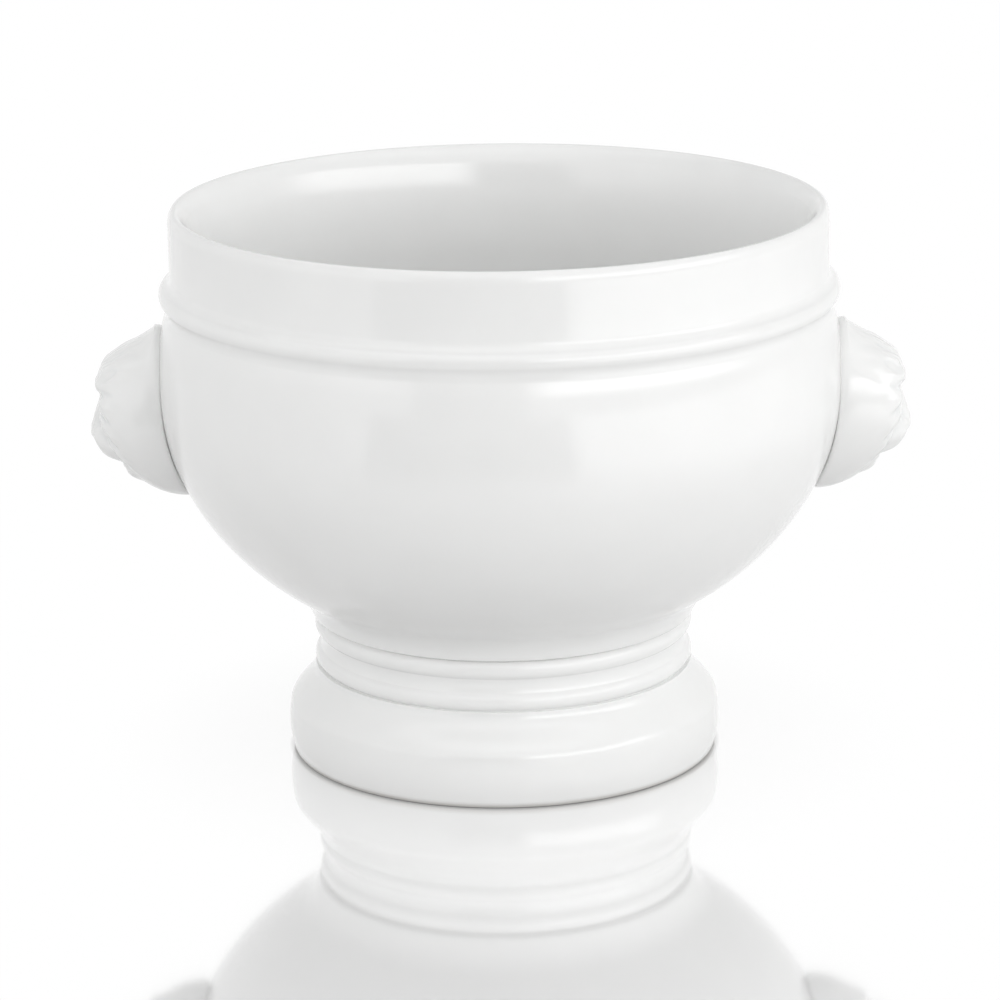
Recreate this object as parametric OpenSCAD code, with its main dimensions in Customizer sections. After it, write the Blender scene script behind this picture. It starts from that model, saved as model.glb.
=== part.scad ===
// Footed onion soup crock in white glazed porcelain: a turned bowl on a hollow
// pedestal foot, with a moulded lion mask luted on each side as a handle.
// Millimetres, +Z up. The origin is on the table under the centre of the foot,
// and the two masks lie on the X axis.

/* [Bowl] */
// Height from the table to the top of the rim
crock_h = 101.5; // [85:0.5:122]
// Outer diameter of the plain band under the rim
rim_d = 119; // [100:1:140]
// Thickness of the rim band under its flare
rim_wall = 3.7; // [2.8:0.1:5]
// Radius of the rounded lip, on the outer edge of the flare
lip_r = 0.8; // [0.4:0.1:1.2]
// Height of the rim band, from its lip to the cove above the bead
band_h = 10.9; // [8:0.1:15]
// Radius of the bead under the rim band
bead_r = 1.6; // [1:0.1:2]
// How far the bead stands out from the rim band
bead_proud = 2; // [1.4:0.1:3]
// Distance from the lower end of the rim band to the middle of the bead
bead_drop = 3.1; // [2.6:0.1:5]
// Height of the groove under the bead
groove_h = 3; // [2:0.1:5]
// Depth of the groove under the bead
groove_depth = 0.7; // [0.3:0.1:1.2]
// Largest diameter of the belly
belly_d = 124; // [104:1:146]
// Distance from the groove down to the widest line of the belly
belly_fall = 14.3; // [8:0.1:24]
// How far the belly draws in from its widest line to the groove
belly_draw = 1; // [0.4:0.1:2]
// Thickness of the wall at the belly
belly_wall = 5.2; // [3:0.1:6.5]
// Thickness of the bottom
bottom_wall = 4.5; // [3.5:0.1:6]
// How far the round bottom hangs below the neck, inside the foot
bottom_drop = 5.5; // [3:0.1:8]
// Width of the flat seat under the neck, round the bottom
seat_w = 6.3; // [4:0.1:9]
// Diameter of the neck where the bowl meets the foot
neck_d = 70; // [66:0.5:76]
// Width of the cove that leads the belly into the neck
neck_cove = 4.2; // [2.5:0.1:6]

/* [Foot] */
// Diameter of the foot on the table
foot_d = 78; // [74:0.5:90]
// Height of the base band
base_h = 8.6; // [6:0.2:12]
// How far the top of the base band stands out beyond its bottom
base_lean = 0.5; // [0:0.1:1.5]
// How far the base band swells between its edges
base_swell = 0.5; // [0.2:0.1:1]
// Height of the sloping shoulder above the base band
shoulder_h = 7.8; // [5:0.2:12]
// Diameter of the collar in its grooves
collar_d = 67.6; // [66:0.2:70]
// Height of the lower roll of the collar
lower_roll_h = 3.2; // [2:0.1:5]
// Height of the hollow moulding between the two rolls
scotia_h = 2.7; // [1.5:0.1:5]
// Depth of the hollow moulding between the two rolls
scotia_depth = 0.3; // [0.1:0.05:0.6]
// Height of the upper roll of the collar
upper_roll_h = 3.3; // [2:0.1:5]
// How far the rolls stand out from the grooves of the collar
roll_proud = 0.9; // [0.4:0.1:1.4]
// Width of the ring that stands on the table
ring_w = 4.6; // [3.5:0.1:7]
// Radius of the rounded edges of the standing ring
ring_edge = 0.6; // [0.2:0.1:1.2]
// Clearance between the hollow of the foot and the round bottom of the bowl
bottom_gap = 0.8; // [0.4:0.1:1.5]

/* [Lion masks] */
// Width of a mask across the mane
mask_w = 24; // [18:0.5:30]
// Height of a mask from the beard to the crown
mask_h = 31.6; // [24:0.2:34]
// How far the middle of a mask lies below the widest line of the belly
mask_drop = 5.2; // [3:0.2:9]
// How far the face stands out from the bowl
face_depth = 9.9; // [6:0.1:14]
// How far the jaw draws back from the face
jaw_draw = 3.5; // [1:0.1:5]
// How far the muzzle stands out from the face
muzzle_proud = 2.9; // [1:0.1:4]
// How far the brows stand out from the face
brow_proud = 0.8; // [0.4:0.1:2]
// Depth of the eye sockets
socket_depth = 1.3; // [0.5:0.1:2.5]
// How far the ears stand out from the mane
ear_proud = 1.3; // [0.5:0.1:3]
// Locks of hair around the mane
mane_locks = 16; // [8:4:20]
// Depth of the furrows between the locks
lock_depth = 0.8; // [0.2:0.1:1.6]
// Radius of the rounded edge along the seam with the bowl
mask_edge = 0.6; // [0.3:0.1:1]

/* [Slip joints] */
// Thickness of the slip that joins the pieces
slip_t = 0.4; // [0.2:0.05:1]
// How far the slip lies back from the open edge of a joint
seam_depth = 0.2; // [0.1:0.1:1.5]

/* [Hidden] */
$fn = 180;

porcelain = "whitesmoke";
bare_slip = "gainsboro";

// Heights of the foot's mouldings above the table, and of the neck that stands on them
shoulder_z = base_h;
collar_z = shoulder_z + shoulder_h;
scotia_z = collar_z + lower_roll_h;
upper_roll_z = scotia_z + scotia_h;
foot_top_z = upper_roll_z + upper_roll_h;
neck_z = foot_top_z + slip_t;

// Rim: band, cove, bead and groove, from the lip downwards
rim_r = rim_d / 2;
belly_r = belly_d / 2;
band_z = crock_h - band_h;
bead_center = [rim_r + bead_proud - bead_r, band_z - bead_drop];
bead_under = 48;
bead_foot = bead_center + bead_r * [cos(bead_under), -sin(bead_under)];
groove_foot = [belly_r - belly_draw, bead_foot.y - groove_h];

// Flare inside the rim, from the lip most of the way down to the bead
flare_share = 0.85;
flare_h = flare_share * (crock_h - bead_foot.y);
flare_foot = [rim_r - rim_wall, crock_h - flare_h];
flare_lean = atan2(2 * (rim_wall - 2 * lip_r), flare_h);

// Belly: a flat arc above the widest line, an ellipse below it that would end at the bottom
belly_z = groove_foot.y - belly_fall;
belly_drop = belly_z - neck_z + bottom_drop;
upper_steps = 8;
belly_steps = 36;
inner_r = belly_r - belly_wall;
inner_drop = belly_drop - bottom_wall;

// Neck: the cove runs from the neck, at its lean, to a tangent of the belly
neck_r = neck_d / 2;
neck_lean = 0.4;
cove_angle = asin((neck_r + neck_cove) / belly_r);
bottom_r = neck_r - seat_w;

// Cove that touches the rim band and the bead
cove_offset = bead_proud - bead_r;
cove_r = (pow(cove_offset, 2) + pow(bead_drop, 2) - pow(bead_r, 2)) / (2 * bead_proud);
cove_center = [rim_r + cove_r, band_z];
cove_turn = atan2(cove_center.y - bead_center.y, cove_center.x - bead_center.x);

// Foot radii
foot_r = foot_d / 2;
collar_r = collar_d / 2;
base_top_r = foot_r + base_lean;
hollow_r = foot_r - ring_w;
bore_r = bottom_r + bottom_gap;
slip_in_r = bore_r + seam_depth;
slip_out_r = min(collar_r, neck_r) - seam_depth;

// Masks: a closed net of rings around the middle of the face
mask_z = belly_z - mask_drop;
mask_sectors = 5 * mane_locks;
face_rings = 36;
seat_rings = [0.2, 0.4, 0.6, 0.8];
seat_gap = 0.03;
egg = 0.07;
fold = 0.05;
brow_line = 0.6;
lock_curl = 28;
outline_steps = 60;

// Curves in the plane of a section, as lists of [radius, height]

function backwards(line) = [for (i = [len(line) - 1:-1:0]) line[i]];
function clamp01(t) = max(0, min(1, t));
function ease(t) = clamp01(t) * clamp01(t) * (3 - 2 * clamp01(t));

function arc(center, r, from, to, steps) =
    [for (i = [0:steps]) let (a = from + (to - from) * i / steps) center + r * [cos(a), sin(a)]];

// Arc over the chord p to q that swells by rise to the right of the way from p to q
function swell(p, q, rise, steps) =
    let (
        chord = norm(q - p),
        side = [q.y - p.y, p.x - q.x] / chord,
        r = (pow(chord / 2, 2) + pow(rise, 2)) / (2 * abs(rise)),
        half = asin(chord / (2 * r)),
        lift = r * cos(half)
    )
    [for (i = [0:steps])
        let (a = half * (2 * i / steps - 1))
        (p + q) / 2 + (q - p) / chord * r * sin(a) + side * sign(rise) * (r * cos(a) - lift)];

// S-shaped curve from p to q that leaves and arrives upright
function ogee(p, q, steps) =
    [for (i = [0:steps])
        let (t = i / steps)
        [p.x + (q.x - p.x) * ease(t), p.y + (q.y - p.y) * t]];

function bend(p, q, r, steps) =
    [for (i = [0:steps])
        let (t = i / steps)
        pow(1 - t, 2) * p + 2 * t * (1 - t) * q + pow(t, 2) * r];

// Part of the ellipse under the widest line, by the angle from its lowest point
function lower_curve(r, drop, from, to, steps) =
    [for (i = [0:steps])
        let (a = from + (to - from) * i / steps)
        [r * sin(a), belly_z - drop * cos(a)]];

upper_belly_r = (pow(belly_fall, 2) + pow(belly_draw, 2)) / (2 * belly_draw);

// Outer radius of the belly at a height
function belly_at(z) = z < belly_z
    ? belly_r * sqrt(1 - pow((belly_z - z) / belly_drop, 2))
    : belly_r - upper_belly_r + sqrt(pow(upper_belly_r, 2) - pow(z - belly_z, 2));

// Belly from its widest line up to a height, set in by a wall
function upper_curve(wall, top) =
    [for (i = [1:upper_steps])
        let (z = belly_z + (top - belly_z) * i / upper_steps)
        [belly_at(z) - wall, z]];

function belly_line() = concat(
    lower_curve(belly_r, belly_drop, cove_angle, 90, belly_steps),
    upper_curve(0, groove_foot.y)
);

function neck_line() =
    let (
        start = [neck_r, neck_z],
        end = [belly_r * sin(cove_angle), belly_z - belly_drop * cos(cove_angle)],
        slope = belly_r / belly_drop / tan(cove_angle),
        rise = end.y - start.y,
        back = (end.x - start.x - neck_lean * rise) / (slope - neck_lean)
    )
    bend(start, end - back * [slope, 1], end, 8);

function rim_line() = concat(
    swell(groove_foot, bead_foot, -groove_depth, 8),
    arc(bead_center, bead_r, -bead_under, cove_turn, 12),
    arc(cove_center, cove_r, cove_turn - 180, -180, 8),
    arc([rim_r - lip_r, crock_h - lip_r], lip_r, 0, 180 - flare_lean, 12)
);

// From the lip, upright by the foot of the flare
function flare_line() =
    let (start = [rim_r - lip_r, crock_h - lip_r] + lip_r * [-cos(flare_lean), sin(flare_lean)])
    bend(start, [flare_foot.x, (start.y + flare_foot.y) / 2], flare_foot, 12);

// The inside keeps the belly's wall under the step from the belly to the bead
function inside_line() =
    let (
        step = bead_foot - groove_foot,
        shift = belly_wall * step.x / (norm(step) + step.y)
    )
    concat(
        flare_line(),
        ogee(flare_foot, bead_foot + [-belly_wall, shift], 6),
        backwards(upper_curve(belly_wall, groove_foot.y + shift)),
        lower_curve(inner_r, inner_drop, 90, 0, belly_steps)
    );

// The bowl, turned from one section

module bowl() {
    dome_r = (pow(bottom_r, 2) + pow(bottom_drop, 2)) / (2 * bottom_drop);
    dome_center = [0, neck_z - bottom_drop + dome_r];
    color(porcelain)
        rotate_extrude()
            polygon(concat(
                arc(dome_center, dome_r, -90, asin(bottom_r / dome_r) - 90, 12),
                neck_line(),
                belly_line(),
                rim_line(),
                inside_line()
            ));
}

// The foot, turned from one section and open underneath

function foot_outside() = concat(
    arc([foot_r - ring_edge, ring_edge], ring_edge, -90, 0, 5),
    swell([foot_r, ring_edge], [base_top_r, shoulder_z], base_swell, 10),
    ogee([base_top_r, shoulder_z], [collar_r + roll_proud, collar_z], 14),
    swell([collar_r, collar_z], [collar_r, scotia_z], roll_proud, 10),
    swell([collar_r, scotia_z], [collar_r, upper_roll_z], -scotia_depth, 6),
    swell([collar_r, upper_roll_z], [collar_r, foot_top_z], roll_proud, 10)
);

function foot_inside() = concat(
    [[bore_r, foot_top_z]],
    ogee([bore_r, collar_z], [hollow_r, shoulder_z / 2], 14),
    arc([hollow_r + ring_edge, ring_edge], ring_edge, 180, 270, 5)
);

module foot() {
    color(porcelain)
        rotate_extrude()
            polygon(concat(foot_outside(), foot_inside()));
}

module foot_slip() {
    color(bare_slip)
        translate([0, 0, foot_top_z])
            difference() {
                cylinder(r = slip_out_r, h = slip_t);
                translate([0, 0, -slip_t])
                    cylinder(r = slip_in_r, h = 3 * slip_t);
            }
}

// The lion mask, as relief over the bowl: x across the face and y up it, each from -1 to 1

function outline(a) = [cos(a) * (1 + egg * sin(a)), sin(a)];

function far(p, at, size) = pow((p.x - at.x) / size.x, 2) + pow((p.y - at.y) / size.y, 2);

// Soft swelling, and a fuller one with a flat top
function bump(p, at, size) = exp(-far(p, at, size));
function pad(p, at, size) = exp(-pow(far(p, at, size), 2));

// Slope that sets in where t passes zero, the softer the wider the bend
function ramp(t, bend_w) = (t + norm([t, bend_w])) / 2;

// Falls to the seam at the outline, the later the higher the power
function rounding(s, power) = sqrt(max(0, 1 - pow(s, power)));

// Crown that slopes back above the brows, jaw that draws back below the cheeks
function head(s, p) =
    let (
        over = norm([0.75 * p.x, p.y]),
        under = norm([0.6 * p.x, p.y]),
        crown = face_depth * (1 - ramp(over - brow_line, 0.1) / ramp(1 - brow_line, 0.1)),
        jaw = face_depth - jaw_draw * ramp(under - 0.32, 0.14) / 0.6,
        top = ease((p.y + 0.3) / 0.6)
    )
    (top * crown + (1 - top) * jaw) * rounding(s, 10);

// How far outside the face a point lies: 1 is the hair line
function hair_line(p) = sqrt(far(p, [0, -0.03], [0.58, 0.66]));

// Two rows of curling locks: the inner row lies over the outer one, half a lock round,
// and both die away towards the smooth sides of the mask
function mane(s, p) =
    let (
        turn = mane_locks / 2 * (atan2(p.y, p.x) + lock_curl * (s - 0.75)),
        inner = norm([sin(turn), 0.22]),
        outer = norm([cos(turn), 0.22]),
        tip = 0.78 + 0.08 * inner,
        over = ease((tip - s) / 0.12 + 0.5)
    )
    lock_depth * ease((hair_line(p) - 0.9) / 0.24) * ease((0.97 - s) / 0.2)
        * (over * (inner - 0.3) + (1 - over) * (outer - 0.8));

// Ridge over each eye, and a forehead in two halves with a furrow between them
function brows(p) = brow_proud * (
    pad(p, [0.3, 0.36 + 0.1 * (p.x - 0.3)], [0.24, 0.11])
    + 0.6 * pad(p, [0.16, 0.53], [0.16, 0.13])
    - 0.6 * bump(p, [0, 0.5], [0.07, 0.16])
);

// Slanting eyes with an eyeball in each socket
function eyes(p) =
    let (slant = 0.17 + 0.35 * (p.x - 0.33))
    socket_depth * (
        0.75 * pad(p, [0.33, slant], [0.11, 0.065])
        - pad(p, [0.33, slant + 0.01], [0.18, 0.13])
    );

// Bridge that rises from between the eyes, over two whisker pads that it merges with
function bridge(p) =
    0.78 * exp(-pow(p.x / (0.2 - 0.1 * p.y), 4)) * ease((0.26 - p.y) / 0.45) * ease((p.y + 0.42) / 0.2);
function whiskers(p) = 0.95 * pad(p, [0.2, -0.36], [0.28, 0.22]);

// Three-cornered nose with a nostril on each side, and the lip parted under it
function nose(p) =
    let (tip_w = max(0.06, 0.3 + 0.9 * (p.y + 0.19)))
    0.14 * exp(-pow(p.x / tip_w, 4) - pow((p.y + 0.22) / 0.11, 4))
    - 0.25 * bump(p, [0.17, -0.32], [0.07, 0.035])
    - 0.3 * bump(p, [0, -0.44], [0.05, 0.11]);

// Mouth line that runs round the lower edge of each whisker pad, with the chin below it
function mouth(p) =
    0.42 * pad(p, [0, -0.72], [0.22, 0.1])
    - 0.4 * bump(p, [0.2, -0.59 + 1.6 * pow(p.x - 0.22, 2)], [0.3, 0.05]);

function muzzle(p) = muzzle_proud * (
    pow(pow(bridge(p), 4) + pow(whiskers(p), 4), 1 / 4) + nose(p) + mouth(p)
);

function cheeks(p) = 0.6 * brow_proud * pad(p, [0.46, -0.04], [0.14, 0.17]);

// Round ear with a hollow, clear of the mane
function ear(p) = pad(p, [0.57, 0.54], [0.18, 0.15]);
function ears(p) = ear_proud * (ear(p) - 0.7 * pad(p, [0.55, 0.52], [0.11, 0.09]));

// The two halves of the face meet in a soft fold
function relief(s, a) =
    let (
        at = s * outline(a),
        p = [norm([at.x, fold]), at.y]
    )
    head(s, p) + mane(s, p) * (1 - ear(p)) + ears(p) * rounding(s, 8)
    + brows(p) + eyes(p) + muzzle(p) + cheeks(p);

// Point of a mask at ring s and angle a, lifted from its seat on the slip
function mask_point(s, a, lift) =
    let (
        at = s * outline(a),
        y = at.x * mask_w / 2,
        z = mask_z + at.y * mask_h / 2,
        seat = sqrt(pow(belly_at(z) + slip_t + seat_gap, 2) - y * y)
    )
    [seat + lift, y, z];

function sector(j) = 360 * (j % mask_sectors) / mask_sectors;

function mask_ring(s, lift) = [for (j = [0:mask_sectors - 1]) mask_point(s, sector(j), lift)];

function face_ring(s) =
    [for (j = [0:mask_sectors - 1]) mask_point(s, sector(j), mask_edge + relief(s, sector(j)))];

module lion_head() {
    edge_s = 1 - 2 * mask_edge / min(mask_w, mask_h);
    rings = concat(
        [for (s = seat_rings) mask_ring(s, 0)],
        [mask_ring(edge_s, 0)],
        [for (i = [0:face_rings - 1]) face_ring(1 - pow(i / face_rings, 1.6))]
    );
    points = concat(
        [mask_point(0, 0, 0)],
        [for (ring = rings) each ring],
        [mask_point(0, 0, mask_edge + relief(0, 0))]
    );
    last = len(points) - 1;
    faces = concat(
        [for (j = [0:mask_sectors - 1]) [0, 1 + j, 1 + (j + 1) % mask_sectors]],
        [for (i = [0:len(rings) - 2])
            for (j = [0:mask_sectors - 1])
                let (
                    a = 1 + i * mask_sectors + j,
                    b = 1 + i * mask_sectors + (j + 1) % mask_sectors,
                    c = a + mask_sectors,
                    d = b + mask_sectors
                )
                each (cos(sector(j)) > 0 ? [[a, c, d], [a, d, b]] : [[a, c, b], [b, c, d]])],
        [for (j = [0:mask_sectors - 1])
            [last - mask_sectors + j, last, last - mask_sectors + (j + 1) % mask_sectors]]
    );
    color(porcelain)
        polyhedron(points, faces);
}

// Bed of slip that follows the belly, a little inside the outline of the mask

module head_slip() {
    shrink = [mask_w / 2 - seam_depth - mask_edge, mask_h / 2 - seam_depth - mask_edge];
    color(bare_slip)
        intersection() {
            rotate_extrude()
                polygon(concat(
                    belly_line(),
                    [for (p = backwards(belly_line())) p + [slip_t, 0]]
                ));
            translate([0, 0, mask_z])
                rotate([90, 0, 90])
                    linear_extrude(belly_d)
                        polygon([for (i = [0:outline_steps - 1])
                            let (a = 360 * i / outline_steps)
                            [shrink.x * cos(a) * (1 + egg * sin(a)), shrink.y * sin(a)]]);
        }
}

module lion_head_left() { rotate([0, 0, 180]) lion_head(); }
module lion_head_right() { lion_head(); }
module head_slip_left() { rotate([0, 0, 180]) head_slip(); }
module head_slip_right() { head_slip(); }

bowl();
foot();
foot_slip();
lion_head_left();
lion_head_right();
head_slip_left();
head_slip_right();
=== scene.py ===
import math

import bmesh
import bpy
from mathutils import Matrix, Vector
from mathutils.bvhtree import BVHTree


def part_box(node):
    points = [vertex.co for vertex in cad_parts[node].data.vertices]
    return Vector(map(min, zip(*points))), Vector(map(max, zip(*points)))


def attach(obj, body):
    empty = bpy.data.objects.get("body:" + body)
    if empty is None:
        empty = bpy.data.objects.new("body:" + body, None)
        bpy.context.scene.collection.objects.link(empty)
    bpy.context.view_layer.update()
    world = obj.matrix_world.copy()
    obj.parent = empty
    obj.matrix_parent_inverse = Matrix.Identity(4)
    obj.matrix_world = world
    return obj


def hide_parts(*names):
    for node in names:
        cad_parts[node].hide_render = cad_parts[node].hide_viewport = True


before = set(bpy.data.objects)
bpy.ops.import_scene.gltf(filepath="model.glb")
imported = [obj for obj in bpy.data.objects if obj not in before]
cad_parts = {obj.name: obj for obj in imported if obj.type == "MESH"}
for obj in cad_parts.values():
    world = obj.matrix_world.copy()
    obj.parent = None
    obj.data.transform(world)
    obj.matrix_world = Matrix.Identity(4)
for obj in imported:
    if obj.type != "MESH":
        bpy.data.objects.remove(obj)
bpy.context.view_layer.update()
scene = bpy.context.scene
scene.view_settings.view_transform = "Standard"
print("frame loaded:", len(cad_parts), "nodes")


# Camera, fitted to the turned rings of the crock in the photo
camera = {
    "lens": 148.3,  # mm
    "sensor": 36,
    "distance": 0.7691,  # from the centre of the foot
    "elevation": 18.72,  # degrees above the table
    "aimUp": 3.307,  # degrees above the centre of the foot
    "turn": 0.026,
    "roll": -0.679,
}


def makeCamera(c):
    data = bpy.data.cameras.new("camera")
    data.lens = c["lens"]
    data.sensor_width = c["sensor"]
    data.clip_start, data.clip_end = 0.05, 20
    obj = bpy.data.objects.new("camera", data)
    scene.collection.objects.link(obj)
    up = math.radians(c["elevation"])
    place = Vector((0, -math.cos(up), math.sin(up))) * c["distance"]
    tilt = math.radians(90 - c["elevation"] + c["aimUp"])
    turned = Matrix.Rotation(math.radians(c["turn"]), 4, "Z") @ Matrix.Rotation(tilt, 4, "X")
    obj.matrix_world = Matrix.Translation(place) @ turned @ Matrix.Rotation(math.radians(c["roll"]), 4, "Z")
    scene.camera = obj


makeCamera(camera)


# Shared steps for the pieces
poolingAndShade = {
    "depth": 0.001,  # a hollow of this radius gets the full darker tint, partly pooled glaze and partly painted shade
    "spread": 8,  # passes that soften the edge of the pooled glaze and painted shade
}


def ease(t):
    t = min(1, max(0, t))
    return t * t * (3 - 2 * t)


def markPoolingAndShade(bm):
    # how hollow the surface is at each vertex, for a darker tint there: partly the glaze that gathers in
    # hollows, partly painted shade in creases and grooves
    bm.normal_update()
    hollow = {}
    for v in bm.verts:
        away = [e.other_vert(v).co - v.co for e in v.link_edges]
        span = sum(d.length_squared for d in away)
        bend = 2 * sum(d.dot(v.normal) for d in away) / max(span, 1e-12)
        hollow[v.index] = min(1, max(0, bend * poolingAndShade["depth"]))
    for _ in range(poolingAndShade["spread"]):
        hollow = {
            v.index: 0.5 * hollow[v.index]
            + 0.5 * sum(hollow[e.other_vert(v).index] for e in v.link_edges) / len(v.link_edges)
            for v in bm.verts
        }
    layer = bm.verts.layers.float.new("poolAndShade")
    for v in bm.verts:
        v[layer] = hollow[v.index]


def finishPiece(bm, name, node, material):
    bmesh.ops.recalc_face_normals(bm, faces=bm.faces)
    bm.verts.index_update()
    markPoolingAndShade(bm)
    mesh = bpy.data.meshes.new(name)
    bm.to_mesh(mesh)
    bm.free()
    mesh.materials.append(material)
    mesh.polygons.foreach_set("use_smooth", [True] * len(mesh.polygons))
    obj = bpy.data.objects.new(name, mesh)
    scene.collection.objects.link(obj)
    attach(obj, "root")
    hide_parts(node)
    print("made", name, len(mesh.polygons), "faces")
    return obj


# Materials


def addNode(tree, kind, values=None, **settings):
    node = tree.nodes.new(kind)
    for key, value in settings.items():
        setattr(node, key, value)
    for key, value in (values or {}).items():
        node.inputs[key].default_value = value
    return node


def newMaterial(name):
    material = bpy.data.materials.new(name)
    material.use_nodes = True
    tree = material.node_tree
    return material, tree, tree.nodes["Principled BSDF"]


glaze = {
    "white": (0.878, 0.88, 0.874, 1),
    "pooledAndShaded": (0.72, 0.745, 0.752, 1),  # a little blue where the glaze is thick, and darker as painted shade in hollows
    "brokenEdge": 0.7,  # share of that tint where its edge breaks up
    "brokenMore": 0.6,  # and what the waves add to it
    "shade": 0.985,  # tone in the dips of the waves
    "gloss": (0.064, 0.12),  # roughness, over the orange peel
    "waves": 90,  # broad unevenness, per metre
    "peel": 700,  # fine orange peel, per metre
    "peelHeight": 0.12,  # beside the waves
    "turnedHeight": 0.00004,  # of the waves, on bowl and foot
    "maskHeight": 0.00003,
    "ior": 1.52,
}
noiseSpan = {"From Min": 0.3, "From Max": 0.7}  # most values of a noise lie in here


def makeGlazeGroup(g):
    group = bpy.data.node_groups.new("glazeSkin", "ShaderNodeTree")
    group.interface.new_socket("PoolAndShade", in_out="INPUT", socket_type="NodeSocketFloat")
    group.interface.new_socket("Color", in_out="OUTPUT", socket_type="NodeSocketColor")
    group.interface.new_socket("Roughness", in_out="OUTPUT", socket_type="NodeSocketFloat")
    group.interface.new_socket("Height", in_out="OUTPUT", socket_type="NodeSocketFloat")
    link = group.links.new
    given = addNode(group, "NodeGroupInput")
    out = addNode(group, "NodeGroupOutput")
    where = addNode(group, "ShaderNodeTexCoord")
    waves = addNode(group, "ShaderNodeTexNoise", {"Scale": g["waves"], "Detail": 2, "Roughness": 0.4})
    peel = addNode(group, "ShaderNodeTexNoise", {"Scale": g["peel"], "Detail": 2, "Roughness": 0.5})
    link(where.outputs["Object"], waves.inputs["Vector"])
    link(where.outputs["Object"], peel.inputs["Vector"])
    # the pooled tint and its painted shade break up a little at their edge
    edge = addNode(group, "ShaderNodeMath", {1: g["brokenMore"]}, operation="MULTIPLY_ADD")
    link(waves.outputs["Fac"], edge.inputs[0])
    edge.inputs[2].default_value = g["brokenEdge"]
    poolShadeShare = addNode(group, "ShaderNodeMath", operation="MULTIPLY", use_clamp=True)
    link(given.outputs["PoolAndShade"], poolShadeShare.inputs[0])
    link(edge.outputs[0], poolShadeShare.inputs[1])
    # darker tint in hollows: pooled glaze together with painted shade
    tint = addNode(group, "ShaderNodeMix", data_type="RGBA")
    tint.inputs["A"].default_value = g["white"]
    tint.inputs["B"].default_value = g["pooledAndShaded"]
    link(poolShadeShare.outputs[0], tint.inputs["Factor"])
    shade = addNode(group, "ShaderNodeMapRange", {**noiseSpan, "To Min": g["shade"], "To Max": 1.0})
    link(waves.outputs["Fac"], shade.inputs["Value"])
    tone = addNode(group, "ShaderNodeVectorMath", operation="SCALE")
    link(tint.outputs["Result"], tone.inputs[0])
    link(shade.outputs["Result"], tone.inputs["Scale"])
    link(tone.outputs["Vector"], out.inputs["Color"])
    least, most = g["gloss"]
    gloss = addNode(group, "ShaderNodeMapRange", {**noiseSpan, "To Min": least, "To Max": most})
    link(peel.outputs["Fac"], gloss.inputs["Value"])
    link(gloss.outputs["Result"], out.inputs["Roughness"])
    height = addNode(group, "ShaderNodeMath", {1: g["peelHeight"]}, operation="MULTIPLY_ADD")
    link(peel.outputs["Fac"], height.inputs[0])
    link(waves.outputs["Fac"], height.inputs[2])
    link(height.outputs[0], out.inputs["Height"])
    return group


glazeSkin = makeGlazeGroup(glaze)


def placeGlaze(tree):
    skin = addNode(tree, "ShaderNodeGroup", node_tree=glazeSkin)
    poolAndShade = addNode(tree, "ShaderNodeAttribute", attribute_name="poolAndShade")
    tree.links.new(poolAndShade.outputs["Fac"], skin.inputs["PoolAndShade"])
    return skin


def addBump(tree, shader, height, distance):
    bump = addNode(tree, "ShaderNodeBump", {"Strength": 1, "Distance": distance})
    tree.links.new(height, bump.inputs["Height"])
    tree.links.new(bump.outputs["Normal"], shader.inputs["Normal"])


def makeGlazedPorcelain(name, unevenness):
    material, tree, shader = newMaterial(name)
    skin = placeGlaze(tree)
    tree.links.new(skin.outputs["Color"], shader.inputs["Base Color"])
    tree.links.new(skin.outputs["Roughness"], shader.inputs["Roughness"])
    addBump(tree, shader, skin.outputs["Height"], unevenness)
    shader.inputs["IOR"].default_value = glaze["ior"]
    return material


bareRingAndShade = {
    # grey of the bare ring: partly the unglazed clay, partly a painted contact shadow along the table
    "shadedClay": (0.62, 0.61, 0.59, 1),
    "lineHeight": 0.0008,  # where the glaze was wiped off above the table, and where the painted contact shadow ends
    "lineWave": 0.0003,
    "lineWander": 160,  # waves of that line, per metre
    "lineSoft": 0.0007,
    "grain": 2600,
    "grainDark": 0.9,  # of the clay's colour
    "rough": 0.75,
}


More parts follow.
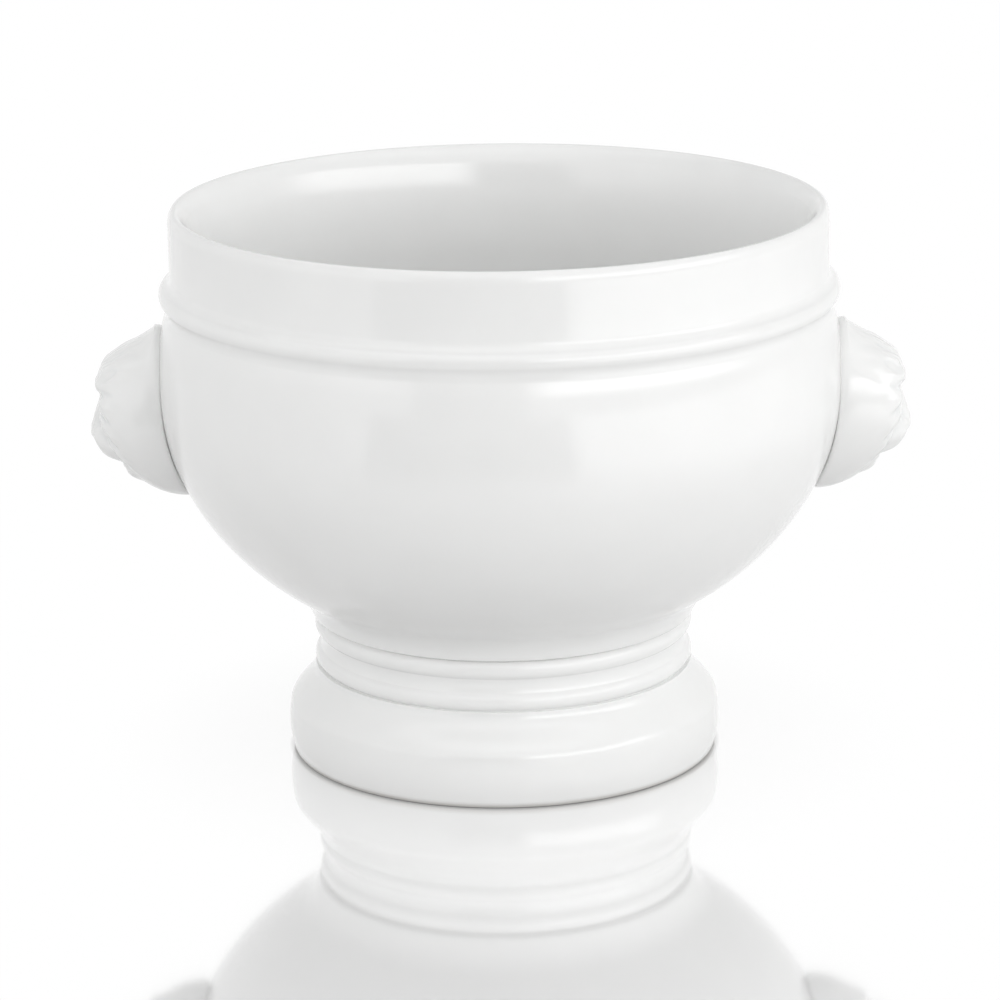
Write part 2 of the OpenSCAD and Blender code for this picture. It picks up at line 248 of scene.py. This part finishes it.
def makeFootPorcelain(r):
    # glazed porcelain that is wiped bare on the standing ring, whose bare clay is darkened grey as a painted
    # contact shadow
    material, tree, shader = newMaterial("footGlaze")
    link = tree.links.new
    skin = placeGlaze(tree)
    where = addNode(tree, "ShaderNodeTexCoord")
    split = addNode(tree, "ShaderNodeSeparateXYZ")
    link(where.outputs["Object"], split.inputs["Vector"])
    wander = addNode(tree, "ShaderNodeTexNoise", {"Scale": r["lineWander"], "Detail": 3})
    link(where.outputs["Object"], wander.inputs["Vector"])
    line = addNode(tree, "ShaderNodeMath", {1: r["lineWave"]}, operation="MULTIPLY_ADD")
    line.inputs[2].default_value = r["lineHeight"] - r["lineWave"] / 2
    link(wander.outputs["Fac"], line.inputs[0])
    under = addNode(tree, "ShaderNodeMath", operation="SUBTRACT")
    link(line.outputs[0], under.inputs[0])
    link(split.outputs["Z"], under.inputs[1])
    bareAndShaded = addNode(
        tree,
        "ShaderNodeMath",
        {1: 1 / r["lineSoft"], 2: 0.5},
        operation="MULTIPLY_ADD",
        use_clamp=True,
    )
    link(under.outputs[0], bareAndShaded.inputs[0])
    grain = addNode(tree, "ShaderNodeTexNoise", {"Scale": r["grain"], "Detail": 4, "Roughness": 0.7})
    link(where.outputs["Object"], grain.inputs["Vector"])
    shadedClay = addNode(tree, "ShaderNodeValToRGB")
    shadedClay.color_ramp.elements[0].color = tuple(r["grainDark"] * c for c in r["shadedClay"][:3]) + (1,)
    shadedClay.color_ramp.elements[1].color = r["shadedClay"]
    link(grain.outputs["Fac"], shadedClay.inputs["Fac"])
    colour = addNode(tree, "ShaderNodeMix", data_type="RGBA")
    link(bareAndShaded.outputs[0], colour.inputs["Factor"])
    link(skin.outputs["Color"], colour.inputs["A"])
    link(shadedClay.outputs["Color"], colour.inputs["B"])
    link(colour.outputs["Result"], shader.inputs["Base Color"])
    rough = addNode(tree, "ShaderNodeMix", {"B": r["rough"]}, data_type="FLOAT")
    link(bareAndShaded.outputs[0], rough.inputs["Factor"])
    link(skin.outputs["Roughness"], rough.inputs["A"])
    link(rough.outputs["Result"], shader.inputs["Roughness"])
    height = addNode(tree, "ShaderNodeMix", data_type="FLOAT")
    link(bareAndShaded.outputs[0], height.inputs["Factor"])
    link(skin.outputs["Height"], height.inputs["A"])
    link(grain.outputs["Fac"], height.inputs["B"])
    addBump(tree, shader, height.outputs["Result"], glaze["turnedHeight"])
    shader.inputs["IOR"].default_value = glaze["ior"]
    return material


slip = {
    "light": (0.86, 0.855, 0.84, 1),
    "dark": (0.78, 0.775, 0.76, 1),
    "grain": 1800,
    "grainHeight": 0.00008,
    "rough": (0.6, 0.9),
}


def makeFiredSlip(s):
    material, tree, shader = newMaterial("firedSlip")
    link = tree.links.new
    where = addNode(tree, "ShaderNodeTexCoord")
    grain = addNode(tree, "ShaderNodeTexNoise", {"Scale": s["grain"], "Detail": 5, "Roughness": 0.65})
    link(where.outputs["Object"], grain.inputs["Vector"])
    tone = addNode(tree, "ShaderNodeValToRGB")
    tone.color_ramp.elements[0].position = noiseSpan["From Min"]
    tone.color_ramp.elements[0].color = s["dark"]
    tone.color_ramp.elements[1].position = noiseSpan["From Max"]
    tone.color_ramp.elements[1].color = s["light"]
    link(grain.outputs["Fac"], tone.inputs["Fac"])
    link(tone.outputs["Color"], shader.inputs["Base Color"])
    rough = addNode(tree, "ShaderNodeMapRange", {"To Min": s["rough"][0], "To Max": s["rough"][1]})
    link(grain.outputs["Fac"], rough.inputs["Value"])
    link(rough.outputs["Result"], shader.inputs["Roughness"])
    addBump(tree, shader, grain.outputs["Fac"], s["grainHeight"])
    return material


bowlGlaze = makeGlazedPorcelain("bowlGlaze", glaze["turnedHeight"])
footGlaze = makeFootPorcelain(bareRingAndShade)
maskGlaze = makeGlazedPorcelain("maskGlaze", glaze["maskHeight"])
firedSlip = makeFiredSlip(slip)
for node in ("foot_slip", "head_slip_left", "head_slip_right"):
    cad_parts[node].data.materials.clear()
    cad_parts[node].data.materials.append(firedSlip)
print("materials ready")


# Bowl and foot, turned again from the section of the CAD solid
turning = {
    "steps": 240,
    "softEdge": 0.0003,  # the glaze rounds every arris and fills every corner by this much
    "softSteps": 4,
    "sharpTurn": 14,  # degrees
    "cadWeld": 1e-6,  # the CAD mesh is loose triangles
    "weld": 2e-6,
}


def cadSection(node):
    bm = bmesh.new()
    bm.from_mesh(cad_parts[node].data)
    bmesh.ops.remove_doubles(bm, verts=bm.verts, dist=turning["cadWeld"])
    bmesh.ops.bisect_plane(
        bm,
        geom=bm.verts[:] + bm.edges[:] + bm.faces[:],
        dist=1e-7,
        plane_co=(0, 0, 0),
        plane_no=(0, 1, 0),
        clear_inner=True,
        clear_outer=True,
    )
    otherHalf = [v for v in bm.verts if v.co.x < -turning["cadWeld"]]
    bmesh.ops.delete(bm, geom=otherHalf, context="VERTS")
    bmesh.ops.remove_doubles(bm, verts=bm.verts, dist=turning["weld"])
    return bm


def turnPiece(bm):
    bmesh.ops.spin(
        bm,
        geom=bm.verts[:] + bm.edges[:],
        cent=(0, 0, 0),
        axis=(0, 0, 1),
        angle=2 * math.pi,
        steps=turning["steps"],
        use_merge=True,
    )
    bmesh.ops.remove_doubles(bm, verts=bm.verts, dist=turning["weld"])
    bmesh.ops.recalc_face_normals(bm, faces=bm.faces)
    sharp = math.radians(turning["sharpTurn"])
    arrises = [e for e in bm.edges if e.is_manifold and e.calc_face_angle() > sharp]
    bmesh.ops.bevel(
        bm,
        geom=arrises,
        offset=turning["softEdge"],
        segments=turning["softSteps"],
        profile=0.5,
        affect="EDGES",
        clamp_overlap=True,
        material=-1,
    )
    bmesh.ops.remove_doubles(bm, verts=bm.verts, dist=turning["weld"])
    return bm


# The rim as it shows in the photo: a rounder and thicker lip and a shallower groove than the CAD solid
# has, and its mouldings a little lower
rim = {
    "crest": 0.0011,  # top of the lip, from the outside of the band
    "outerFall": 0.0022,  # the band rounds over from here
    "innerFall": 0.0026,  # and the lip runs into the flare inside here
    "thicker": 0.001,  # the wall inside, at the lip
    "thickerDown": 0.045,  # and nothing more from here on
    "wallReach": 0.013,  # the inside of the wall lies this near the band
    "steps": 24,
    "groove": (0.01402, 0.0182),  # from the bead to the shoulder of the belly, below the top
    "grooveFill": 0.2,  # share of its depth that glaze takes up
    # how far down the mouldings move, by their distance from the top
    "settle": ((0.0036, 0), (0.0109, 0.0009), (0.0167, 0.00135), (0.0182, 0.002), (0.0325, 0)),
    "shoulder": (0.0189, 0.0265),  # where the belly rounds into the groove, below the top
    "shoulderCuts": 4,
    "shoulderPasses": 40,
}


def settled(below):
    for (start, low), (end, high) in zip(rim["settle"], rim["settle"][1:]):
        if start <= below <= end:
            return low + (high - low) * (below - start) / (end - start)
    return 0


def fillGroove(outside, top):
    start, end = rim["groove"]
    inIt = sorted((v for v in outside if start <= top - v.co.z <= end), key=lambda v: -v.co.z)
    first, last = inIt[0].co.copy(), inIt[-1].co.copy()
    for v in inIt:
        level = first.x + (last.x - first.x) * (v.co.z - first.z) / (last.z - first.z)
        v.co.x += rim["grooveFill"] * max(0, level - v.co.x)


def thickenWall(bm, top, band):
    for v in bm.verts:
        below = top - v.co.z
        inside = band - rim["wallReach"] < v.co.x < band - rim["crest"] and below < rim["thickerDown"]
        if inside and below > rim["innerFall"]:
            v.co.x -= rim["thicker"] * (1 - ease(below / rim["thickerDown"]))


def softenShoulder(bm, top, band):
    def onShoulder(v):
        return v.co.x > band and rim["shoulder"][0] < top - v.co.z < rim["shoulder"][1]

    edges = [e for e in bm.edges if onShoulder(e.verts[0]) and onShoulder(e.verts[1])]
    bmesh.ops.subdivide_edges(bm, edges=edges, cuts=rim["shoulderCuts"])
    soft = [v for v in bm.verts if onShoulder(v)]
    for _ in range(rim["shoulderPasses"]):
        bmesh.ops.smooth_vert(bm, verts=soft, factor=0.5, use_axis_x=True, use_axis_z=True)


def roundRim(bm):
    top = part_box("bowl")[1][2]
    band = max(v.co.x for v in bm.verts if v.co.z > top - rim["outerFall"])
    crest = band - rim["crest"]
    outside = [v for v in bm.verts if v.co.x > crest and v.co.z < top - rim["outerFall"]]
    fillGroove(outside, top)
    thickenWall(bm, top, band)
    for v in outside:
        v.co.z -= settled(top - v.co.z)
    softenShoulder(bm, top, band)
    lip = [v for v in bm.verts if v.co.z > top - (rim["outerFall"] if v.co.x > crest else rim["innerFall"])]
    bmesh.ops.delete(bm, geom=lip, context="VERTS")
    ends = [v for v in bm.verts if len(v.link_edges) == 1 and v.co.x > 0.5 * band]
    outer, inner = max(ends, key=lambda v: v.co.x), min(ends, key=lambda v: v.co.x)
    points = []
    for i in range(rim["steps"]):
        lean = math.pi / 2 * i / rim["steps"]
        points.append((crest + rim["crest"] * math.cos(lean), top - rim["outerFall"] * (1 - math.sin(lean))))
    for i in range(rim["steps"]):
        along = i / rim["steps"]
        points.append((crest + (inner.co.x - crest) * along, top + (inner.co.z - top) * along * along))
    for reach, height in points:
        v = bm.verts.new((reach, 0, height))
        bm.edges.new((outer, v))
        outer = v
    bm.edges.new((outer, inner))
    return bm


bowlMesh = turnPiece(roundRim(cadSection("bowl")))
bowlTree = BVHTree.FromBMesh(bowlMesh)
finishPiece(bowlMesh, "turnedBowl", "bowl", bowlGlaze)
finishPiece(turnPiece(cadSection("foot")), "turnedFoot", "foot", footGlaze)


# Lion masks, sculpted over the belly. The face is laid out on its half width and half height,
# so x runs from 0 at the nose to 1 at the side and y from -1 at the beard to 1 at the crown
mask = {
    "cuts": 95,  # of the quad ball that is sculpted, along each side
    "face": 130,  # degrees of the ball that become the face
    "edge": 0.001,  # rounded edge along the seam
    "seat": 0.94,  # where that edge ends underneath
    "seatSoft": 0.01,
    "sag": 0.00038,  # the glaze there runs down to the bowl
    "sagMore": 0.00074,  # further at the top of the mask
    "sagLess": 0.00028,  # and less far at its bottom
    "sunk": 0.00005,
    "depth": 0.0096,
    "browLine": 0.6,  # the crown slopes back from here
    "jaw": 0.0035,  # how far the jaw draws back
    "muzzle": 0.0029,
    "brow": 0.0008,
    "socket": 0.0013,
    "ear": 0.0013,
    "locks": 16,
    "lock": 0.0008,
    "curl": 28,  # degrees
    "strand": 0.00004,
    "fold": 0.05,  # softness of the middle line
    "egg": 0.07,  # wider at the crown than at the beard
}


def ramp(t, bend):
    return (t + math.hypot(t, bend)) / 2


def far(x, y, atX, atY, wide, high):
    return ((x - atX) / wide) ** 2 + ((y - atY) / high) ** 2


def bump(x, y, atX, atY, wide, high):
    return math.exp(-far(x, y, atX, atY, wide, high))


def pad(x, y, atX, atY, wide, high):
    return math.exp(-far(x, y, atX, atY, wide, high) ** 2)


def rounding(s, power):
    return math.sqrt(max(0, 1 - s**power))


def headForm(s, x, y):
    # crown that slopes back above the brows, jaw that draws back below the cheeks
    over, under = math.hypot(0.75 * x, y), math.hypot(0.6 * x, y)
    crown = mask["depth"] * (1 - ramp(over - mask["browLine"], 0.1) / ramp(1 - mask["browLine"], 0.1))
    jaw = mask["depth"] - mask["jaw"] * ramp(under - 0.32, 0.14) / 0.6
    top = ease((y + 0.3) / 0.6)
    return (top * crown + (1 - top) * jaw) * rounding(s, 10)


def mane(s, x, y):
    # two rows of curling locks, the inner one half a lock round and lying over the outer one
    turn = mask["locks"] / 2 * (math.atan2(y, x) + math.radians(mask["curl"]) * (s - 0.75))
    inner, outer = math.hypot(math.sin(turn), 0.22), math.hypot(math.cos(turn), 0.22)
    over = ease((0.78 + 0.08 * inner - s) / 0.12 + 0.5)
    hair = ease((math.sqrt(far(x, y, 0, -0.03, 0.58, 0.66)) - 0.9) / 0.24)
    locks = over * (inner - 0.3) + (1 - over) * (outer - 0.8)
    strands = math.cos(6 * turn + 3 * math.sin(9 * s))
    return hair * ease((0.97 - s) / 0.2) * (mask["lock"] * locks + mask["strand"] * strands)


def faceRelief(s, x, y):
    brows = (
        pad(x, y, 0.3, 0.36 + 0.1 * (x - 0.3), 0.24, 0.11)
        + 0.6 * pad(x, y, 0.16, 0.53, 0.16, 0.13)
        - 0.6 * bump(x, y, 0, 0.5, 0.07, 0.16)
    )
    cheeks = 0.6 * pad(x, y, 0.46, -0.04, 0.14, 0.17)
    slant = 0.17 + 0.35 * (x - 0.33)
    eyes = 0.75 * pad(x, y, 0.33, slant, 0.11, 0.065) - pad(x, y, 0.33, slant + 0.01, 0.18, 0.13)
    # the bridge rises from between the eyes and merges with the whisker pads
    bridge = 0.78 * math.exp(-((x / (0.2 - 0.1 * y)) ** 4)) * ease((0.26 - y) / 0.45) * ease((y + 0.42) / 0.2)
    whiskers = 0.95 * pad(x, y, 0.2, -0.36, 0.28, 0.22)
    snout = (bridge**4 + whiskers**4) ** 0.25
    tip = math.exp(-((x / max(0.06, 0.3 + 0.9 * (y + 0.19))) ** 4) - ((y + 0.22) / 0.11) ** 4)
    nose = 0.14 * tip - 0.25 * bump(x, y, 0.17, -0.32, 0.07, 0.035) - 0.3 * bump(x, y, 0, -0.44, 0.05, 0.11)
    lips = -0.59 + 1.6 * (x - 0.22) ** 2
    mouth = 0.42 * pad(x, y, 0, -0.72, 0.22, 0.1) - 0.4 * bump(x, y, 0.2, lips, 0.3, 0.05)
    ear = pad(x, y, 0.57, 0.54, 0.18, 0.15)
    ears = ear - 0.7 * pad(x, y, 0.55, 0.52, 0.11, 0.09)
    return (
        headForm(s, x, y)
        + mane(s, x, y) * (1 - ear)
        + mask["brow"] * (brows + cheeks)
        + mask["socket"] * eyes
        + mask["muzzle"] * (snout + nose + mouth)
        + mask["ear"] * ears * rounding(s, 8)
    )


def seatAt(y, z, gap):
    # the bowl's surface seen from the side, with the slip on it
    hit = bowlTree.ray_cast(Vector((0.2, y, z)), Vector((-1, 0, 0)))[0]
    return math.sqrt((math.hypot(hit.x, y) + gap) ** 2 - y * y)


def maskEdge(back, turn, gap):
    # the rounded edge along the seam, then the underside on the slip
    s = 1 - back**1.6
    under = rounding(max(0, (s - mask["seat"]) / (1 - mask["seat"])), 2)
    high = (1 + math.sin(turn)) / 2
    closed = mask["sag"] + mask["sagMore"] * high**4 - mask["sagLess"] * (1 - high) ** 4
    closed *= ease((s - mask["seat"]) / mask["seatSoft"] + 1.5)
    return s, max(mask["edge"] * (1 - under) - closed * under, -gap - mask["sunk"])


def sculptMask():
    low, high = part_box("lion_head_right")
    halfWide, halfHigh, middle = high[1], (high[2] - low[2]) / 2, (high[2] + low[2]) / 2
    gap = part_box("head_slip_right")[1][0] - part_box("bowl")[1][0]
    bm = bmesh.new()
    bmesh.ops.create_cube(bm, size=2)
    bmesh.ops.subdivide_edges(bm, edges=bm.edges, cuts=mask["cuts"], use_grid_fill=True)
    for v in bm.verts:
        ball = Vector([math.tan(c * math.pi / 4) for c in v.co]).normalized()
        polar = math.degrees(math.acos(min(1, max(-1, ball.x))))
        a = math.atan2(ball.z, ball.y)
        front = polar <= mask["face"]
        if front:
            s = math.sin(math.radians(90 * polar / mask["face"]))
            lift = None
        else:
            s, lift = maskEdge((polar - mask["face"]) / (180 - mask["face"]), a, gap)
        x = s * math.cos(a) * (1 + mask["egg"] * math.sin(a))
        y = s * math.sin(a)
        if front:
            lift = mask["edge"] + faceRelief(s, math.hypot(x, mask["fold"]), y)
        seat = seatAt(x * halfWide, middle + y * halfHigh, gap)
        v.co = (seat + lift, x * halfWide, middle + y * halfHigh)
    return bm


for side, turn in (("right", 0), ("left", math.pi)):
    maskMesh = sculptMask()
    bmesh.ops.rotate(maskMesh, verts=maskMesh.verts, cent=(0, 0, 0), matrix=Matrix.Rotation(turn, 3, "Z"))
    finishPiece(maskMesh, "lionMask" + side.capitalize(), "lion_head_" + side, maskGlaze)


# Table and light
stage = {
    "floorHalf": 1.6,
    "floorDrop": 0.00005,  # so that the standing ring and the table don't share a plane
    "floor": (0.54, 0.54, 0.54, 1),  # as it throws light back at the crock
    "floorRough": 0.6,
    "mirror": 0.68,  # how much of the table's look is its reflection
    "mirrorRough": 0.06,
    "mirrorReach": (0.17, 0.25),  # it fades out from here to here
    "mirrorInGlaze": 0.15,
    "shadow": 0.12,  # and how much is its shaded colour, near the crock
    "shadowReach": (0.04, 0.08),
    "contactShadow": 0.0012,  # width of the painted contact shadow where the foot stands
    "contactShadowLight": 0.48,
    "horizon": 0.98,  # light of the white room round the crock
    "zenith": 0.55,  # and above it
    "cardSteps": 24,
    "overTable": 0.0004,  # a ray that starts below this comes from the table
}
softboxes = [
    {"name": "rightBox", "place": (0.58, -0.48, 0.248), "size": (1.48, 0.26), "power": 2.88},
    {"name": "leftBox", "place": (-0.66, -0.35, 0.248), "size": (1.0, 0.26), "power": 1.05},
]
# What shows only in reflections: round the crock by degrees from the front, in rows of radius, height
# and how much of it shows there. Its two ends fade over a share of its length
upright = ((1.05, 0, 1), (1.05, 0.5, 1))
onTable = ((0.17, 0.0005, 0), (0.26, 0.0005, 1), (1.5, 0.0005, 1))
besideIt = ((0.75, 0.13, 0), (0.75, 0.22, 1), (0.75, 0.41, 1))
aboveIt = ((0.01, 0.8, 1), (0.7, 0.8, 1))
mirrored = [
    {"name": "darkStudio", "turn": (-28, 8), "rows": upright, "glow": 0.05, "ends": None},
    {"name": "darkFront", "turn": (-41, 21), "rows": onTable, "glow": 0.05, "ends": None},
    {"name": "brightSide", "turn": (21, 140), "rows": onTable, "glow": 2.1, "ends": (0.01, 0.8)},
    {"name": "rightScreen", "turn": (8, 96), "rows": besideIt, "glow": 3.5, "ends": (0.1, 0.25)},
    {"name": "leftScreen", "turn": (-28, -96), "rows": besideIt, "glow": 1.2, "ends": (0.1, 0.25)},
    {"name": "overhead", "turn": (-180, 180), "rows": aboveIt, "glow": 1.6, "ends": None},
]


def seenAsWhite(tree):
    seen = addNode(tree, "ShaderNodeLightPath")
    eye = addNode(tree, "ShaderNodeMath", operation="MAXIMUM")
    tree.links.new(seen.outputs["Is Camera Ray"], eye.inputs[0])
    tree.links.new(seen.outputs["Is Glossy Ray"], eye.inputs[1])
    either = addNode(tree, "ShaderNodeMath", operation="MAXIMUM")
    tree.links.new(eye.outputs[0], either.inputs[0])
    tree.links.new(seen.outputs["Is Transmission Ray"], either.inputs[1])
    return either.outputs[0]


def fromAxis(tree, start, end, low, high):
    # a value that changes with the distance from the axis of the crock
    where = addNode(tree, "ShaderNodeTexCoord")
    away = addNode(tree, "ShaderNodeVectorMath", operation="LENGTH")
    tree.links.new(where.outputs["Object"], away.inputs[0])
    values = {"From Min": start, "From Max": end, "To Min": low, "To Max": high}
    fade = addNode(tree, "ShaderNodeMapRange", values, interpolation_type="SMOOTHSTEP")
    tree.links.new(away.outputs["Value"], fade.inputs["Value"])
    return fade.outputs["Result"]


def addStage(name, bm, material):
    mesh = bpy.data.meshes.new(name)
    bm.to_mesh(mesh)
    bm.free()
    mesh.materials.append(material)
    obj = bpy.data.objects.new(name, mesh)
    scene.collection.objects.link(obj)
    return obj


def makeFloor(st):
    bm = bmesh.new()
    bmesh.ops.create_grid(bm, x_segments=1, y_segments=1, size=st["floorHalf"])
    bmesh.ops.translate(bm, verts=bm.verts, vec=(0, 0, -st["floorDrop"]))
    material, tree, shader = newMaterial("whiteTable")
    link = tree.links.new
    shader.inputs["Base Color"].default_value = st["floor"]
    shader.inputs["Roughness"].default_value = st["floorRough"]
    # white with a reflection in it, with a painted contact shadow where the foot touches it
    contactShade = addNode(tree, "ShaderNodeAmbientOcclusion", {"Distance": st["contactShadow"]}, samples=8)
    glow = addNode(tree, "ShaderNodeEmission", {"Color": (1, 1, 1, 1)})
    mirror = addNode(tree, "ShaderNodeBsdfGlossy", {"Roughness": st["mirrorRough"]})
    touchShade = addNode(tree, "ShaderNodeMapRange", {"To Min": st["contactShadowLight"]})
    link(contactShade.outputs["AO"], touchShade.inputs["Value"])
    link(touchShade.outputs["Result"], glow.inputs["Strength"])
    link(touchShade.outputs["Result"], mirror.inputs["Color"])
    seen = addNode(tree, "ShaderNodeLightPath")
    share = addNode(tree, "ShaderNodeMapRange", {"To Min": st["mirrorInGlaze"]})
    link(seen.outputs["Is Camera Ray"], share.inputs["Value"])
    link(fromAxis(tree, *st["mirrorReach"], st["mirror"], 0), share.inputs["To Max"])
    sheen = addNode(tree, "ShaderNodeMixShader")
    link(share.outputs["Result"], sheen.inputs[0])
    link(glow.outputs[0], sheen.inputs[1])
    link(mirror.outputs[0], sheen.inputs[2])
    white = addNode(tree, "ShaderNodeBsdfDiffuse", {"Color": (1, 1, 1, 1)})
    shaded = addNode(tree, "ShaderNodeMixShader")
    link(fromAxis(tree, *st["shadowReach"], st["shadow"], 0), shaded.inputs[0])
    link(sheen.outputs[0], shaded.inputs[1])
    link(white.outputs[0], shaded.inputs[2])
    look = addNode(tree, "ShaderNodeMixShader")
    link(seenAsWhite(tree), look.inputs[0])
    link(shader.outputs[0], look.inputs[1])
    link(shaded.outputs[0], look.inputs[2])
    link(look.outputs[0], tree.nodes["Material Output"].inputs["Surface"])
    addStage("table", bm, material)


def makeMirrored(c):
    rows = len(c["rows"]) - 1
    bm = bmesh.new()
    bmesh.ops.create_grid(bm, x_segments=stage["cardSteps"], y_segments=rows, size=1)
    shown = bm.verts.layers.float.new("shown")
    for v in bm.verts:
        along = (v.co.x + 1) / 2
        reach, height, show = c["rows"][round((v.co.y + 1) / 2 * rows)]
        turn = math.radians(c["turn"][0] + (c["turn"][1] - c["turn"][0]) * along)
        v.co = (reach * math.sin(turn), -reach * math.cos(turn), height)
        if c["ends"]:
            show *= ease(along / c["ends"][0]) * ease((1 - along) / c["ends"][1])
        v[shown] = show
    material, tree, _ = newMaterial(c["name"])
    link = tree.links.new
    shownHere = addNode(tree, "ShaderNodeAttribute", attribute_name="shown")
    glow = addNode(tree, "ShaderNodeEmission", {"Color": (1, 1, 1, 1), "Strength": c["glow"]})
    clear = addNode(tree, "ShaderNodeBsdfTransparent")
    # the dark ones aren't mirrored by the table, where a ray starts at no height
    lowest = stage["overTable"] if c["glow"] < 1 else -1
    where = addNode(tree, "ShaderNodeNewGeometry")
    seen = addNode(tree, "ShaderNodeLightPath")
    origin = addNode(tree, "ShaderNodeVectorMath", operation="MULTIPLY_ADD")
    link(where.outputs["Incoming"], origin.inputs[0])
    link(seen.outputs["Ray Length"], origin.inputs[1])
    link(where.outputs["Position"], origin.inputs[2])
    split = addNode(tree, "ShaderNodeSeparateXYZ")
    link(origin.outputs["Vector"], split.inputs["Vector"])
    raised = addNode(tree, "ShaderNodeMath", {1: lowest}, operation="GREATER_THAN")
    link(split.outputs["Z"], raised.inputs[0])
    both = addNode(tree, "ShaderNodeMath", operation="MULTIPLY")
    link(shownHere.outputs["Fac"], both.inputs[0])
    link(raised.outputs[0], both.inputs[1])
    fade = addNode(tree, "ShaderNodeMixShader")
    link(both.outputs[0], fade.inputs[0])
    link(clear.outputs[0], fade.inputs[1])
    link(glow.outputs[0], fade.inputs[2])
    link(fade.outputs[0], tree.nodes["Material Output"].inputs["Surface"])
    obj = addStage(c["name"], bm, material)
    obj.visible_camera = obj.visible_diffuse = obj.visible_shadow = False


def makeRoom(st):
    world = bpy.data.worlds.new("studio")
    scene.world = world
    world.use_nodes = True
    tree = world.node_tree
    light = tree.nodes["Background"]
    light.inputs["Color"].default_value = (1, 1, 1, 1)
    where = addNode(tree, "ShaderNodeTexCoord")
    split = addNode(tree, "ShaderNodeSeparateXYZ")
    tree.links.new(where.outputs["Generated"], split.inputs["Vector"])
    graded = addNode(tree, "ShaderNodeMapRange", {"To Min": st["horizon"], "To Max": st["zenith"]})
    tree.links.new(split.outputs["Z"], graded.inputs["Value"])
    tree.links.new(graded.outputs["Result"], light.inputs["Strength"])
    white = addNode(tree, "ShaderNodeBackground", {"Color": (1, 1, 1, 1), "Strength": 1})
    look = addNode(tree, "ShaderNodeMixShader")
    tree.links.new(seenAsWhite(tree), look.inputs[0])
    tree.links.new(light.outputs[0], look.inputs[1])
    tree.links.new(white.outputs[0], look.inputs[2])
    tree.links.new(look.outputs[0], tree.nodes["World Output"].inputs["Surface"])


def makeSoftbox(b):
    data = bpy.data.lights.new(b["name"], "AREA")
    data.shape = "RECTANGLE"
    data.size, data.size_y = b["size"]
    data.energy = b["power"]
    obj = bpy.data.objects.new(b["name"], data)
    obj.location = b["place"]
    aim = Vector((0, 0, b["place"][2])) - Vector(b["place"])
    obj.rotation_euler = aim.to_track_quat("-Z", "Y").to_euler()
    obj.visible_glossy = False
    scene.collection.objects.link(obj)


makeFloor(stage)
for card in mirrored:
    makeMirrored(card)
makeRoom(stage)
for box in softboxes:
    makeSoftbox(box)
print("studio ready")
